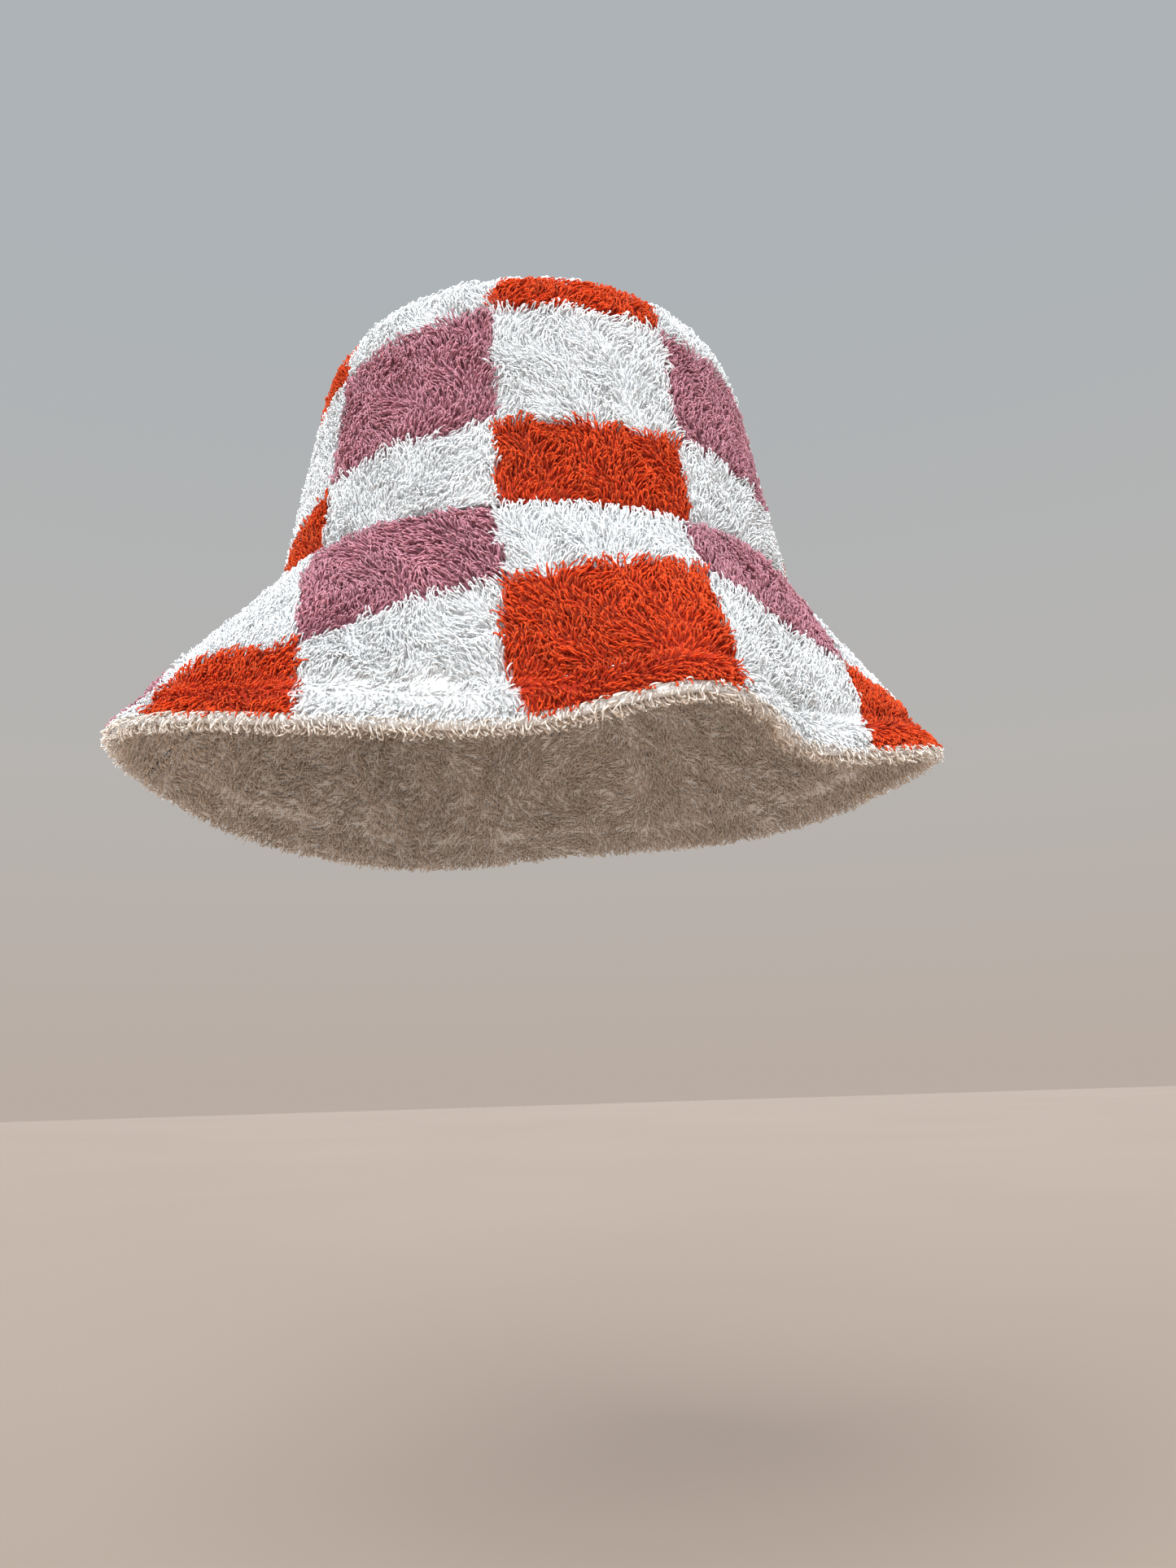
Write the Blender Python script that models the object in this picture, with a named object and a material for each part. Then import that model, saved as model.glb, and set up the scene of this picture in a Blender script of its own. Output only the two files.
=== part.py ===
"""Towelling bucket hat: patterned outer, white lining, stiffened brim and the sewing thread.

Frame: +Z up along the crown, front towards -Y. The origin is the middle of the head opening, level
with the seam between crown and brim. A place on the hat is given by
    azimuth   0 at the front, pi/2 at +X, pi at the back
    run       distance along the cloth from the crown and brim seam, up the crown or out along the brim
    depth     distance into the cloth from the tips of the outer pile
"""

import math

import bmesh
import bpy
import numpy as np

# Crown, in metres and radians
CROWN_HALF_WIDTH = 0.093
CROWN_HALF_DEPTH = 0.1023
CROWN_TAPER = math.radians(10.5)  # lean of the side band from upright
SHOULDER_START = 0.077  # run where the side band starts to turn over
SHOULDER_RADIUS = 0.031
TIP_RISE = math.radians(7)  # slope left in the tip at the middle of the crown
TIP_SEAM = 0.098  # run of the seam between side band and tip

# Brim
BRIM_WIDTH = 0.0725
BRIM_SAG = math.radians(5)  # how much steeper the edge is than the middle of the brim
DROOP = math.radians(62)  # mean slope of the brim below level
DROOP_WAVES = (  # waves round the brim: order, extra droop in degrees, azimuth of most droop in degrees
    (1, 11.0, 3.0),
    (2, 16.5, 21.0),
    (3, 5.5, 3.0),
    (4, 4.5, 42.0),
)
CREST_AZIMUTH = math.radians(21.5)  # one lifted crest, right of the front
CREST_SPREAD = math.radians(20)
CREST_LIFT = math.radians(30)

# Layers of cloth, pile included
OUTER_THICKNESS = 0.0040
LINING_THICKNESS = 0.0030
UNDERBRIM_THICKNESS = 0.0038
INTERLINING_THICKNESS = 0.0008
LAYER_GAP = 0.0003
PANEL_GAP = 0.0008  # half of the gap that holds a seam's thread
TURNED_EDGE = 0.0050  # width of white underbrim that rolls round the brim's edge
TURNED_EDGE_DEPTH = 0.0006
ROLL_EASE = 0.0011  # how much the rolled edge is rounded off

# Sewing
SEAM_THREAD_RADIUS = 0.0003
SEAM_THREAD_DEPTH = 0.0020
SEAM_THREAD_CLEAR = 0.003  # how far the side seams' threads stop short of the cross seams
TOPSTITCH_RUN = BRIM_WIDTH - 0.0125
TOPSTITCH_RADIUS = 0.00035
GROOVE_DEPTH = 0.0014
GROOVE_FLOOR = 0.0011  # half width
GROOVE_MOUTH = 0.0024  # half width
LABEL_BOTTOM = 0.006
LABEL_TOP = 0.020
LABEL_THICKNESS = 0.0007

SEGMENTS_PER_HALF = 24
BRIM_RUNS = (PANEL_GAP, 0.014, 0.028, 0.042, 0.054, BRIM_WIDTH - TURNED_EDGE - LAYER_GAP)
BAND_RUNS = (PANEL_GAP, 0.026, 0.052, SHOULDER_START, 0.088, TIP_SEAM - PANEL_GAP)
TIP_RUNS = (TIP_SEAM + PANEL_GAP, 0.108, 0.117, 0.132, 0.150)
STEP = 1e-5  # for slopes of the surface

WHITE = (0.80, 0.82, 0.83)
CREAM = (0.76, 0.72, 0.68)
CHECKED = (0.72, 0.30, 0.20)
THREAD_WHITE = (0.78, 0.78, 0.76)


def unit(vectors):
    return vectors / np.linalg.norm(vectors, axis=-1, keepdims=True)


def crown_travel(run):
    """How far in and how far up a run along the crown goes."""
    turn = math.pi / 2 - CROWN_TAPER - TIP_RISE
    straight = np.minimum(run, SHOULDER_START)
    arc = np.clip(run - SHOULDER_START, 0, turn * SHOULDER_RADIUS)
    top = np.maximum(run - SHOULDER_START - turn * SHOULDER_RADIUS, 0)
    lean = CROWN_TAPER + arc / SHOULDER_RADIUS
    inward = straight * math.sin(CROWN_TAPER) + top * np.sin(lean)
    inward = inward + SHOULDER_RADIUS * (math.cos(CROWN_TAPER) - np.cos(lean))
    up = straight * math.cos(CROWN_TAPER) + top * np.cos(lean)
    up = up + SHOULDER_RADIUS * (np.sin(lean) - math.sin(CROWN_TAPER))
    return inward, up


def crown_surface(azimuth, run):
    """Points on the outer face of the crown."""
    inward, up = crown_travel(run)
    scale = 1 - inward / CROWN_HALF_WIDTH
    x = CROWN_HALF_WIDTH * scale * np.sin(azimuth)
    y = -CROWN_HALF_DEPTH * scale * np.cos(azimuth)
    return np.stack([x, y, up + 0 * azimuth], axis=-1)


def droop(azimuth):
    """Slope of the brim below level."""
    slope = DROOP + 0 * azimuth
    for order, depth, deepest in DROOP_WAVES:
        slope = slope + math.radians(depth) * np.cos(order * (azimuth - math.radians(deepest)))
    away = np.angle(np.exp(1j * (azimuth - CREST_AZIMUTH)))
    return slope - CREST_LIFT * np.exp(-((away / CREST_SPREAD) ** 2))


def brim_travel(azimuth, run):
    """How far out and how far down a run along the brim goes."""
    start = droop(azimuth) - BRIM_SAG
    bend = 2 * BRIM_SAG / BRIM_WIDTH
    end = start + bend * run
    return (np.sin(end) - np.sin(start)) / bend, (np.cos(start) - np.cos(end)) / bend


def brim_surface(azimuth, run):
    """Points on the outer, upper face of the brim."""
    outward, down = brim_travel(azimuth, run)
    seam = crown_surface(azimuth, 0 * run)
    side = unit(np.stack([CROWN_HALF_DEPTH * np.sin(azimuth), -CROWN_HALF_WIDTH * np.cos(azimuth)], -1))
    flat = seam[..., :2] + side * outward[..., None]
    return np.concatenate([flat, -down[..., None]], axis=-1)


def normals(surface, azimuth, run):
    """Outward normals of a surface."""
    around = surface(azimuth + STEP, run) - surface(azimuth - STEP, run)
    along = surface(azimuth, run + STEP) - surface(azimuth, np.maximum(run - STEP, 0))
    across = unit(np.cross(around, along))
    return across if surface is crown_surface else -across


def seam_mitre(azimuth):
    """Direction, longer than 1, in which the layers of crown and brim meet at their seam."""
    start = 0 * azimuth
    crown = normals(crown_surface, azimuth, start)
    brim = normals(brim_surface, azimuth, start)
    middle = unit(crown + brim)
    return middle / (middle * crown).sum(-1, keepdims=True)


def place(surface, azimuth, run, depth):
    """Points at a depth below a surface. Next to the seam, crown and brim share one direction."""
    azimuth, run, depth = np.broadcast_arrays(np.asarray(azimuth, float), run, depth)
    direction = normals(surface, azimuth, run)
    at_seam = (run <= PANEL_GAP)[..., None]
    direction = np.where(at_seam, seam_mitre(azimuth), direction)
    return surface(azimuth, run) - direction * depth[..., None]


def side_clearance(surface, run):
    """Azimuth that a panel stops short of its side seam, so that the gap there is even."""
    if surface is crown_surface:
        reach = CROWN_HALF_DEPTH * (1 - crown_travel(run)[0] / CROWN_HALF_WIDTH)
    else:
        side = math.pi / 2
        reach = CROWN_HALF_DEPTH + brim_travel(side, run)[0] * CROWN_HALF_WIDTH / CROWN_HALF_DEPTH
    return PANEL_GAP / reach


def half_turn(middle, clearance):
    """Azimuths of a front or back panel."""
    spread = np.linspace(-math.pi / 2, math.pi / 2, SEGMENTS_PER_HALF + 1)
    spread[0] += clearance
    spread[-1] -= clearance
    return middle + spread


def full_turn():
    return np.linspace(-math.pi, math.pi, 2 * SEGMENTS_PER_HALF, endpoint=False)


def material(name, colour, roughness):
    made = bpy.data.materials.new(name)
    made.use_nodes = True
    shader = made.node_tree.nodes["Principled BSDF"]
    shader.inputs["Base Color"].default_value = (*colour, 1)
    shader.inputs["Roughness"].default_value = roughness
    shader.inputs["Metallic"].default_value = 0
    return made


def add_object(name, points, faces, colour, roughness):
    mesh = bpy.data.meshes.new(name)
    mesh.from_pydata([tuple(point) for point in points], [], faces)
    facing = bmesh.new()
    facing.from_mesh(mesh)
    bmesh.ops.recalc_face_normals(facing, faces=facing.faces)
    facing.to_mesh(mesh)
    facing.free()
    mesh.shade_smooth()
    mesh.set_sharp_from_angle(angle=math.radians(40))
    mesh.materials.append(material(name, colour, roughness))
    made = bpy.data.objects.new(name, mesh)
    bpy.context.scene.collection.objects.link(made)
    return made


def add_panel(name, surface, section, middle, colour, roughness=0.95):
    """A closed shell over half a turn. The section is its outline, as (run, depth) points in order."""
    rows = []
    for run, depth in section:
        azimuth = half_turn(middle, side_clearance(surface, run))
        rows.append(place(surface, azimuth, run, depth))
    faces = panel_faces(section, SEGMENTS_PER_HALF + 1)
    return add_object(name, np.concatenate(rows), faces, colour, roughness)


def add_dome(name, runs, top, bottom, colour, roughness=0.95):
    """A closed round shell over the middle of the crown, between two depths."""
    azimuth = full_turn()
    columns = len(azimuth)
    levels = [(run, bottom) for run in reversed(runs)] + [(run, top) for run in runs]
    points = np.concatenate([place(crown_surface, azimuth, run, depth) for run, depth in levels])
    centre_z = crown_surface(0.0, CROWN_CENTRE)[2]
    poles = np.array([[0, 0, centre_z - bottom], [0, 0, centre_z - top]])
    faces = []
    for row in range(len(levels) - 1):
        rising = levels[row + 1][0] >= levels[row][0]
        faces += strip(row, row + 1, columns, rising, closed=True)
    last = (len(levels) - 1) * columns
    for column in range(columns):
        following = (column + 1) % columns
        faces.append((len(points), following, column))
        faces.append((len(points) + 1, last + column, last + following))
    return add_object(name, np.concatenate([points, poles]), faces, colour, roughness)


def add_thread(name, centres, outward, radius, closed, sides=4):
    """A thread of even thickness along a line of points. outward is the cloth's normal there."""
    if closed:
        tangent = unit(np.roll(centres, -1, axis=0) - np.roll(centres, 1, axis=0))
    else:
        tangent = unit(np.gradient(centres, axis=0))
    across = unit(np.cross(tangent, outward))
    up = np.cross(across, tangent)
    rings = []
    for side in range(sides):
        angle = 2 * math.pi * (side + 0.5) / sides
        rings.append(centres + radius * (math.cos(angle) * across + math.sin(angle) * up))
    points = np.stack(rings, axis=1).reshape(-1, 3)
    count = len(centres)
    faces = []
    for index in range(count if closed else count - 1):
        following = (index + 1) % count
        for side in range(sides):
            beside = (side + 1) % sides
            faces.append(
                (
                    index * sides + side,
                    index * sides + beside,
                    following * sides + beside,
                    following * sides + side,
                )
            )
    if not closed:
        faces.append(tuple(reversed(range(sides))))
        faces.append(tuple((count - 1) * sides + side for side in range(sides)))
    return add_object(name, points, faces, THREAD_WHITE, 0.6)


def add_ring_thread(name, surface, run, depth, radius):
    azimuth = full_turn()
    centres = place(surface, azimuth, run, depth)
    outward = seam_mitre(azimuth) if run == 0 else normals(surface, azimuth, run + 0 * azimuth)
    return add_thread(name, centres, outward, radius, closed=True)


def add_side_thread(name, surface, azimuth, first, last):
    """The thread of a side seam, in the gap between a front and a back panel."""
    run = np.linspace(first, last, 9)
    azimuths = azimuth + 0 * run
    centres = place(surface, azimuths, run, SEAM_THREAD_DEPTH)
    outward = normals(surface, azimuths, run)
    return add_thread(name, centres, outward, SEAM_THREAD_RADIUS, closed=False)


def strip(row, following, columns, outward_run, closed=False):
    """Triangles between two rows of points. Layers that face each other share their diagonals."""
    faces = []
    for column in range(columns if closed else columns - 1):
        beside = (column + 1) % columns
        corners = [row * columns + column, row * columns + beside]
        corners += [following * columns + beside, following * columns + column]
        if outward_run:
            faces += [(corners[0], corners[1], corners[2]), (corners[0], corners[2], corners[3])]
        else:
            faces += [(corners[0], corners[1], corners[3]), (corners[1], corners[2], corners[3])]
    return faces


def panel_faces(section, columns):
    """Triangles of a section swept over columns of points, with both ends closed."""
    count = len(section)
    faces = []
    for row in range(count):
        following = (row + 1) % count
        faces += strip(row, following, columns, section[following][0] >= section[row][0])
    faces.append(tuple(row * columns for row in range(count)))
    faces.append(tuple(row * columns + columns - 1 for row in reversed(range(count))))
    return faces


def layer(runs, top, bottom):
    """Outline of a plain layer of cloth."""
    return [(run, bottom) for run in runs] + [(run, top) for run in reversed(runs)]


def brim_outline():
    """Outline of the outer brim, with the groove that the topstitching pulls into it."""
    groove = [
        (TOPSTITCH_RUN - GROOVE_MOUTH, 0),
        (TOPSTITCH_RUN - GROOVE_FLOOR, GROOVE_DEPTH),
        (TOPSTITCH_RUN + GROOVE_FLOOR, GROOVE_DEPTH),
        (TOPSTITCH_RUN + GROOVE_MOUTH, 0),
    ]
    below = [(run, OUTER_THICKNESS) for run in BRIM_RUNS]
    above = [(run, 0) for run in BRIM_RUNS[:-1]] + groove + [(BRIM_RUNS[-1], 0)]
    return below + above[::-1]


def underbrim_outline(top, bottom):
    """Outline of the underbrim, whose edge rolls up round the layers above it."""
    inside_roll = BRIM_WIDTH - TURNED_EDGE
    under = [(run, bottom) for run in BRIM_RUNS + (BRIM_WIDTH - ROLL_EASE,)]
    roll = [(BRIM_WIDTH, bottom - 2 * ROLL_EASE), (BRIM_WIDTH, TURNED_EDGE_DEPTH + 2 * ROLL_EASE)]
    roll += [(BRIM_WIDTH - ROLL_EASE, TURNED_EDGE_DEPTH), (inside_roll, TURNED_EDGE_DEPTH)]
    return under + roll + [(inside_roll, top)] + [(run, top) for run in reversed(BRIM_RUNS)]


def add_label():
    """A small blank woven label inside the back of the lining."""
    top = OUTER_THICKNESS + LINING_THICKNESS + 2 * LAYER_GAP
    bottom = top + LABEL_THICKNESS
    azimuth = math.pi + math.pi / SEGMENTS_PER_HALF * np.array([-1.0, 0.0, 1.0])
    outline = layer([LABEL_BOTTOM, LABEL_TOP], top, bottom)
    points = np.concatenate([place(crown_surface, azimuth, run, depth) for run, depth in outline])
    add_object("size_label", points, panel_faces(outline, len(azimuth)), CREAM, 0.7)


def centre_of_crown():
    """Run from the brim seam to the middle of the crown."""
    shoulder_end = SHOULDER_START + (math.pi / 2 - CROWN_TAPER - TIP_RISE) * SHOULDER_RADIUS
    left = CROWN_HALF_WIDTH - crown_travel(shoulder_end)[0]
    return shoulder_end + left / math.cos(TIP_RISE)


def clear_scene():
    for existing in list(bpy.data.objects):
        bpy.data.objects.remove(existing, do_unlink=True)


def build_crown():
    lining_top = OUTER_THICKNESS + LAYER_GAP
    lining_bottom = lining_top + LINING_THICKNESS
    for half, middle in (("front", 0.0), ("back", math.pi)):
        outer = layer(BAND_RUNS, 0, OUTER_THICKNESS)
        lining = layer(BAND_RUNS, lining_top, lining_bottom)
        add_panel("side_band_" + half, crown_surface, outer, middle, CHECKED)
        add_panel("lining_band_" + half, crown_surface, lining, middle, WHITE)
    add_dome("crown_tip", TIP_RUNS, 0, OUTER_THICKNESS, CHECKED)
    add_dome("lining_tip", TIP_RUNS, lining_top, lining_bottom, WHITE)


def build_brim():
    stiff_top = OUTER_THICKNESS + LAYER_GAP
    stiff_bottom = stiff_top + INTERLINING_THICKNESS
    under_top = stiff_bottom + LAYER_GAP
    under_bottom = under_top + UNDERBRIM_THICKNESS
    for half, middle in (("front", 0.0), ("back", math.pi)):
        stiffener = layer(BRIM_RUNS, stiff_top, stiff_bottom)
        under = underbrim_outline(under_top, under_bottom)
        add_panel("brim_" + half, brim_surface, brim_outline(), middle, CHECKED)
        add_panel("brim_interlining_" + half, brim_surface, stiffener, middle, CREAM)
        add_panel("underbrim_" + half, brim_surface, under, middle, WHITE)


def build_sewing():
    add_ring_thread("crown_seam_thread", crown_surface, 0.0, SEAM_THREAD_DEPTH, SEAM_THREAD_RADIUS)
    add_ring_thread("tip_seam_thread", crown_surface, TIP_SEAM, SEAM_THREAD_DEPTH, SEAM_THREAD_RADIUS)
    stitch_depth = GROOVE_DEPTH - LAYER_GAP - TOPSTITCH_RADIUS
    add_ring_thread("brim_topstitch_thread", brim_surface, TOPSTITCH_RUN, stitch_depth, TOPSTITCH_RADIUS)
    first = SEAM_THREAD_CLEAR
    band_last = TIP_SEAM - SEAM_THREAD_CLEAR
    brim_last = BRIM_WIDTH - TURNED_EDGE - SEAM_THREAD_CLEAR
    for side, azimuth in (("right", math.pi / 2), ("left", -math.pi / 2)):
        add_side_thread("band_seam_thread_" + side, crown_surface, azimuth, first, band_last)
        add_side_thread("brim_seam_thread_" + side, brim_surface, azimuth, first, brim_last)


CROWN_CENTRE = centre_of_crown()

clear_scene()
build_crown()
build_brim()
build_sewing()
add_label()
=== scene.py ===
"""The looks of the towelling bucket hat: cloth panels, looped pile, rolled brim edge, stitches and label.

Every panel is a thin sheet of ground cloth that carries a pile of separate yarn loops. A place on the
hat is given as in the CAD model, by azimuth (0 at the front, pi/2 at +X), by run (distance along the
cloth from the seam between crown and brim) and by depth (into the cloth from the outer pile's tips).
"""

import math

import bpy
import numpy as np
from mathutils import Matrix, Vector


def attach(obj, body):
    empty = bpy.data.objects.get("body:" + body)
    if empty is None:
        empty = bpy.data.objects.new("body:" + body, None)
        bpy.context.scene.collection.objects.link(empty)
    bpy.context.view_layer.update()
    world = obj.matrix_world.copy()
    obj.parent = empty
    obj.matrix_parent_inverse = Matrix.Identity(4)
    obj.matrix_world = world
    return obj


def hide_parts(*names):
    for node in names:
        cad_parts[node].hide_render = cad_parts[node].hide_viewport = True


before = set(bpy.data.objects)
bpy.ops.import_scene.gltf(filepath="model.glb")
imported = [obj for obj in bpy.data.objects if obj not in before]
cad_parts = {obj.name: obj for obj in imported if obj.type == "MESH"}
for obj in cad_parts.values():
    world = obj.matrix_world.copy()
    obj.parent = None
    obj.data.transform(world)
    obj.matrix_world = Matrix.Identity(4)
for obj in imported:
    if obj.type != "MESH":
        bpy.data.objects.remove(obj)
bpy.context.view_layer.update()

# Shape of the hat, as in the CAD model, in metres and radians
CROWN_HALF_WIDTH = 0.093
CROWN_HALF_DEPTH = 0.1023
CROWN_TAPER = math.radians(10.5)
SHOULDER_START = 0.077
SHOULDER_RADIUS = 0.031
TIP_RISE = math.radians(7)
TIP_SEAM = 0.098
BRIM_WIDTH = 0.0725
BRIM_SAG = math.radians(5)
DROOP = math.radians(62)
DROOP_WAVES = ((1, 11.0, 3.0), (2, 16.5, 21.0), (3, 5.5, 3.0), (4, 4.5, 42.0))
CREST_AZIMUTH = math.radians(21.5)
CREST_SPREAD = math.radians(20)
CREST_LIFT = math.radians(30)
PANEL_GAP = 0.0008
TURNED_EDGE = 0.0028  # width of the white underbrim that shows on the brim's upper side
TOPSTITCH_RUN = BRIM_WIDTH - 0.0125
PRESS_REACH = 0.012  # run over which the brim gets thinner
MITRE_FADE = 0.014  # run over which the layers turn from the seam's mitre to their own normal
STEP = 1e-5

# Layers of ground cloth, as depths from the outer pile's tips
CLOTH = 0.0008
OUTER_FACE = 0.0029
INTERLINING_TOP = 0.0043
INTERLINING = 0.0005
LABEL_FACE = 0.0082
LABEL_THICKNESS = 0.0005
LABEL_BOTTOM = 0.006
LABEL_TOP = 0.020
LABEL_HALF_ANGLE = math.radians(7.5)
LINING_FACE = 0.0052
UNDERBRIM_FACE = 0.0062
EDGE_PRESS = 0.0010  # how much thinner the topstitching presses the brim's edge
EDGE_TOP = 0.0024  # where the rolled edge reaches on the brim's upper side
EDGE_RADIUS = (UNDERBRIM_FACE - EDGE_PRESS - EDGE_TOP) / 2
EDGE_APEX = BRIM_WIDTH + EDGE_RADIUS * (math.pi / 2 - 1)  # distance along the underbrim at its outermost
UNDER_END = BRIM_WIDTH + EDGE_RADIUS * (math.pi - 1) + TURNED_EDGE - EDGE_RADIUS
BRIM_END = BRIM_WIDTH - TURNED_EDGE
CLOTH_LUMP = 0.00025
POLE_GAP = 0.0004  # the tip's mesh stops this far from its middle, where its columns would meet
CLOTH_COLUMNS = 160
CLOTH_ROWS = 48

# Pile: distance between loops, yarn radius, height and length
OUTER_PILE = (0.00124, 0.00028, 0.0028, 0.0034)
UNDER_PILE = (0.00155, 0.00030, 0.0021, 0.0034)
LINING_PILE = (0.0019, 0.00030, 0.0018, 0.0032)
FIRST_SEED = 100
YARN_RINGS = 7
MOST_YARNS = 5100  # in one piece
YARN_SIDES = 3
YARN_TWIST = math.radians(200)
YARN_TAPER = 0.30
ROOT_DEPTH = 0.0002  # how far a loop starts below the face of its cloth
OUT_OF_LINE = 0.32  # of the distance between loops
LEAN_SPREAD = 0.24
COMB_WEIGHTS = (0.9, 0.7, 0.35)  # how far the pile's lean drifts broadly, finely and tuft by tuft
HEIGHT_LUMPS = 0.18
HEIGHT_SPREAD = 0.13
LENGTH_SPREAD = 0.18
RADIUS_SPREAD = 0.10
HOOK = (0.42, 0.88)  # share of a half turn that a loop bends through
SIDEWAYS_BEND = (0.1, 0.55)
TRIM_REACH = 0.0017  # how far a seam flattens the pile on either side
SEAM_TRIM = 0.55  # share of the height that a seam takes
TOPSTITCH_TRIM = 0.80
EDGE_TRIM = 0.1
EDGE_TRIM_REACH = 0.005
PARTING = 0.0025  # how far beyond the topstitching the pile turns towards the edge
PARTING_BLEND = 0.0010
APEX_BLEND = 0.0004
APEX_REACH = 0.006  # how far from the edge's outermost line the pile is steadier

# Sewing
STITCH = 0.0026
STITCH_GAP = 0.0006
THREAD_RADIUS = 0.00021
STITCH_RINGS = 7
STITCH_SIDES = 6
STITCH_ARCH = 0.0003
STITCH_END = 0.6  # of the thread's radius, where a stitch dips into the cloth
PLY_LENGTH = 0.0009
SEAM_CLEAR = 0.003  # how far the side seams' threads stop short of the cross seams
TOPSTITCH_SINK = 0.0004  # how far the threads lie below the face of the cloth
SEAM_SINK = 0.0010

# Checks, in the flat cut pieces: middle of the piece, column lines and row lines
CHECK_WIDTH = 0.066
CHECK_HEIGHT = 0.0455
BAND_COLUMNS = (-0.1019, -0.0356, 0.0271)
BRIM_COLUMNS = (-0.158, -0.1079, -0.0442, 0.0145, 0.0854)
TIP_COLUMNS = (-0.095, -0.029, 0.037)
BAND_ROW = 0.0308
BRIM_ROW = 0.0242
TIP_ROW = -0.101
BAND_RADIUS = 0.812  # of the cut side band at the brim seam
BAND_SHIFT = 0.024
BAND_PULL = 3.2  # how the lowest check row of the side band is drawn down towards its left end
BAND_PULL_START = 0.06
BAND_PULL_REACH = 0.05
BRIM_RADIUS = 0.225  # of the cut brim at the crown seam
BRIM_SHIFT = 0.0321
BRIM_GRAIN = 0.009  # slope of the brim's check rows in the cut
BRIM_PULL = 0.012  # how far the brim's check row climbs beyond its left end
BRIM_PULL_START = -0.058
BRIM_PULL_REACH = 0.034
BOW_DISTANCES = (0.0, 0.024, 0.050, 0.060, 0.0725)  # one column line of the brim is bent by the sewing
BOW_DEPTHS = (0.0, 0.0, 0.0060, 0.0060, 0.0)
BOW_PLACE = -0.044
BOW_SPREAD = 0.030
WHITE, ORANGE, PINK = 0, 1, 2
COLOUR_NAMES = ("white", "orange", "pink")

# Camera: place, direction and angle of view
CAMERA_PLACE = Vector((-0.0017, -0.4111, -0.1595))
CAMERA_YAW = math.radians(2.64)
CAMERA_RISE = math.radians(13.65)
CAMERA_ROLL = math.radians(-1.7)
SENSOR = 36.0
FOCAL = SENSOR * 1450 / 1445  # focal length over image width

FLOOR_Z = -0.33
FLOOR_HALF = 6.0
FLOOR_CORNERS = ((-1, -1), (1, -1), (1, 1), (-1, 1))


# Shape


def unit(vectors):
    return vectors / np.linalg.norm(vectors, axis=-1, keepdims=True)


def crown_travel(run):
    """How far in and how far up a run along the crown goes."""
    turn = math.pi / 2 - CROWN_TAPER - TIP_RISE
    straight = np.minimum(run, SHOULDER_START)
    arc = np.clip(run - SHOULDER_START, 0, turn * SHOULDER_RADIUS)
    top = np.maximum(run - SHOULDER_START - turn * SHOULDER_RADIUS, 0)
    lean = CROWN_TAPER + arc / SHOULDER_RADIUS
    inward = straight * math.sin(CROWN_TAPER) + top * np.sin(lean)
    inward = inward + SHOULDER_RADIUS * (math.cos(CROWN_TAPER) - np.cos(lean))
    up = straight * math.cos(CROWN_TAPER) + top * np.cos(lean)
    up = up + SHOULDER_RADIUS * (np.sin(lean) - math.sin(CROWN_TAPER))
    return inward, up


def crown_surface(azimuth, run):
    inward, up = crown_travel(run)
    scale = 1 - inward / CROWN_HALF_WIDTH
    x = CROWN_HALF_WIDTH * scale * np.sin(azimuth)
    y = -CROWN_HALF_DEPTH * scale * np.cos(azimuth)
    return np.stack([x, y, up + 0 * azimuth], axis=-1)


def droop(azimuth):
    """Slope of the brim below level."""
    slope = DROOP + 0 * azimuth
    for order, depth, deepest in DROOP_WAVES:
        slope = slope + math.radians(depth) * np.cos(order * (azimuth - math.radians(deepest)))
    away = np.angle(np.exp(1j * (azimuth - CREST_AZIMUTH)))
    return slope - CREST_LIFT * np.exp(-((away / CREST_SPREAD) ** 2))


def brim_surface(azimuth, run):
    start = droop(azimuth) - BRIM_SAG
    bend = 2 * BRIM_SAG / BRIM_WIDTH
    end = start + bend * run
    outward = (np.sin(end) - np.sin(start)) / bend
    down = (np.cos(start) - np.cos(end)) / bend
    seam = crown_surface(azimuth, 0 * run)
    side = unit(np.stack([CROWN_HALF_DEPTH * np.sin(azimuth), -CROWN_HALF_WIDTH * np.cos(azimuth)], -1))
    flat = seam[..., :2] + side * outward[..., None]
    return np.concatenate([flat, -down[..., None]], axis=-1)


def slopes(surface, azimuth, run):
    """Unit directions round the hat and along the run, and the surface's outward normal."""
    around = unit(surface(azimuth + STEP, run) - surface(azimuth - STEP, run))
    along = unit(surface(azimuth, run + STEP) - surface(azimuth, run - STEP))
    normal = unit(np.cross(around, along))
    outside = -1 if surface is brim_surface else 1
    return around, along, normal * outside


def seam_mitre(azimuth):
    """Direction, longer than 1, in which the layers of crown and brim meet at their seam."""
    start = 0 * azimuth + STEP
    crown = slopes(crown_surface, azimuth, start)[2]
    brim = slopes(brim_surface, azimuth, start)[2]
    middle = unit(crown + brim)
    return middle / (middle * crown).sum(-1, keepdims=True)


def place(surface, azimuth, run, depth):
    """Points at a depth below the crown or the brim."""
    azimuth, run, depth = np.broadcast_arrays(np.asarray(azimuth, float), run, depth)
    share = np.clip(1 - run / MITRE_FADE, 0, 1)[..., None]
    direction = slopes(surface, azimuth, run)[2] * (1 - share) + seam_mitre(azimuth) * share
    return surface(azimuth, run) - direction * depth[..., None]


# Faces of the ground cloth, each as points from an azimuth and a distance along the cloth


def outer_crown(azimuth, distance):
    return place(crown_surface, azimuth, distance, OUTER_FACE)


def label_face(azimuth, distance):
    return place(crown_surface, azimuth, distance, LABEL_FACE)


def stiffener(azimuth, distance):
    return place(brim_surface, azimuth, distance, INTERLINING_TOP)


def outer_brim(azimuth, distance):
    return place(brim_surface, azimuth, distance, OUTER_FACE)


def inner_crown(azimuth, distance):
    return place(crown_surface, azimuth, distance, LINING_FACE)


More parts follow.
